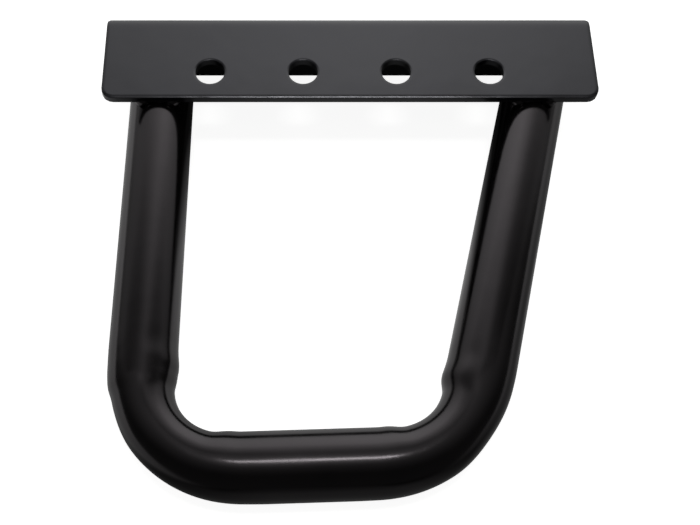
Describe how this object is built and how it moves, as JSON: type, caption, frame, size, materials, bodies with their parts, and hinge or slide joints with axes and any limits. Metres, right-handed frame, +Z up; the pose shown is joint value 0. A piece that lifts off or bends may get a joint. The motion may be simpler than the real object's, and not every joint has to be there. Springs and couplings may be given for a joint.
{
  "type": "ladder stabilizer",
  "caption": "Ladder stabilizer: bent steel angle with a row of bolt holes, and a lopsided loop of bent round tube welded under its plate.",
  "frame": {"origin": "middle of the row of four holes, on the plate's upper face", "axes": "+X along the angle and its row of holes, towards the leaning leg; +Y from the front edge back to the flange, square to its back face; +Z up out of the plate's upper face. The loop reaches out towards -Y and the flange hangs towards -Z."},
  "size_m": [0.2698, 0.2747, 0.0508],
  "materials": {
    "coated_plate": "semi-gloss black powder coat on hot-rolled sheet steel",
    "coated_tube": "semi-gloss black powder coat on round steel tube",
    "coated_weld": "black powder coat over rippled weld beads"
  },
  "bodies": {
    "root": {"mounting_angle": "coated_plate", "bent_tube": "coated_tube", "weld_left_outer": "coated_weld", "weld_left_inner": "coated_weld", "weld_left_end": "coated_weld", "weld_right_outer": "coated_weld", "weld_right_inner": "coated_weld", "weld_right_end": "coated_weld"}
  },
  "joints": []
}
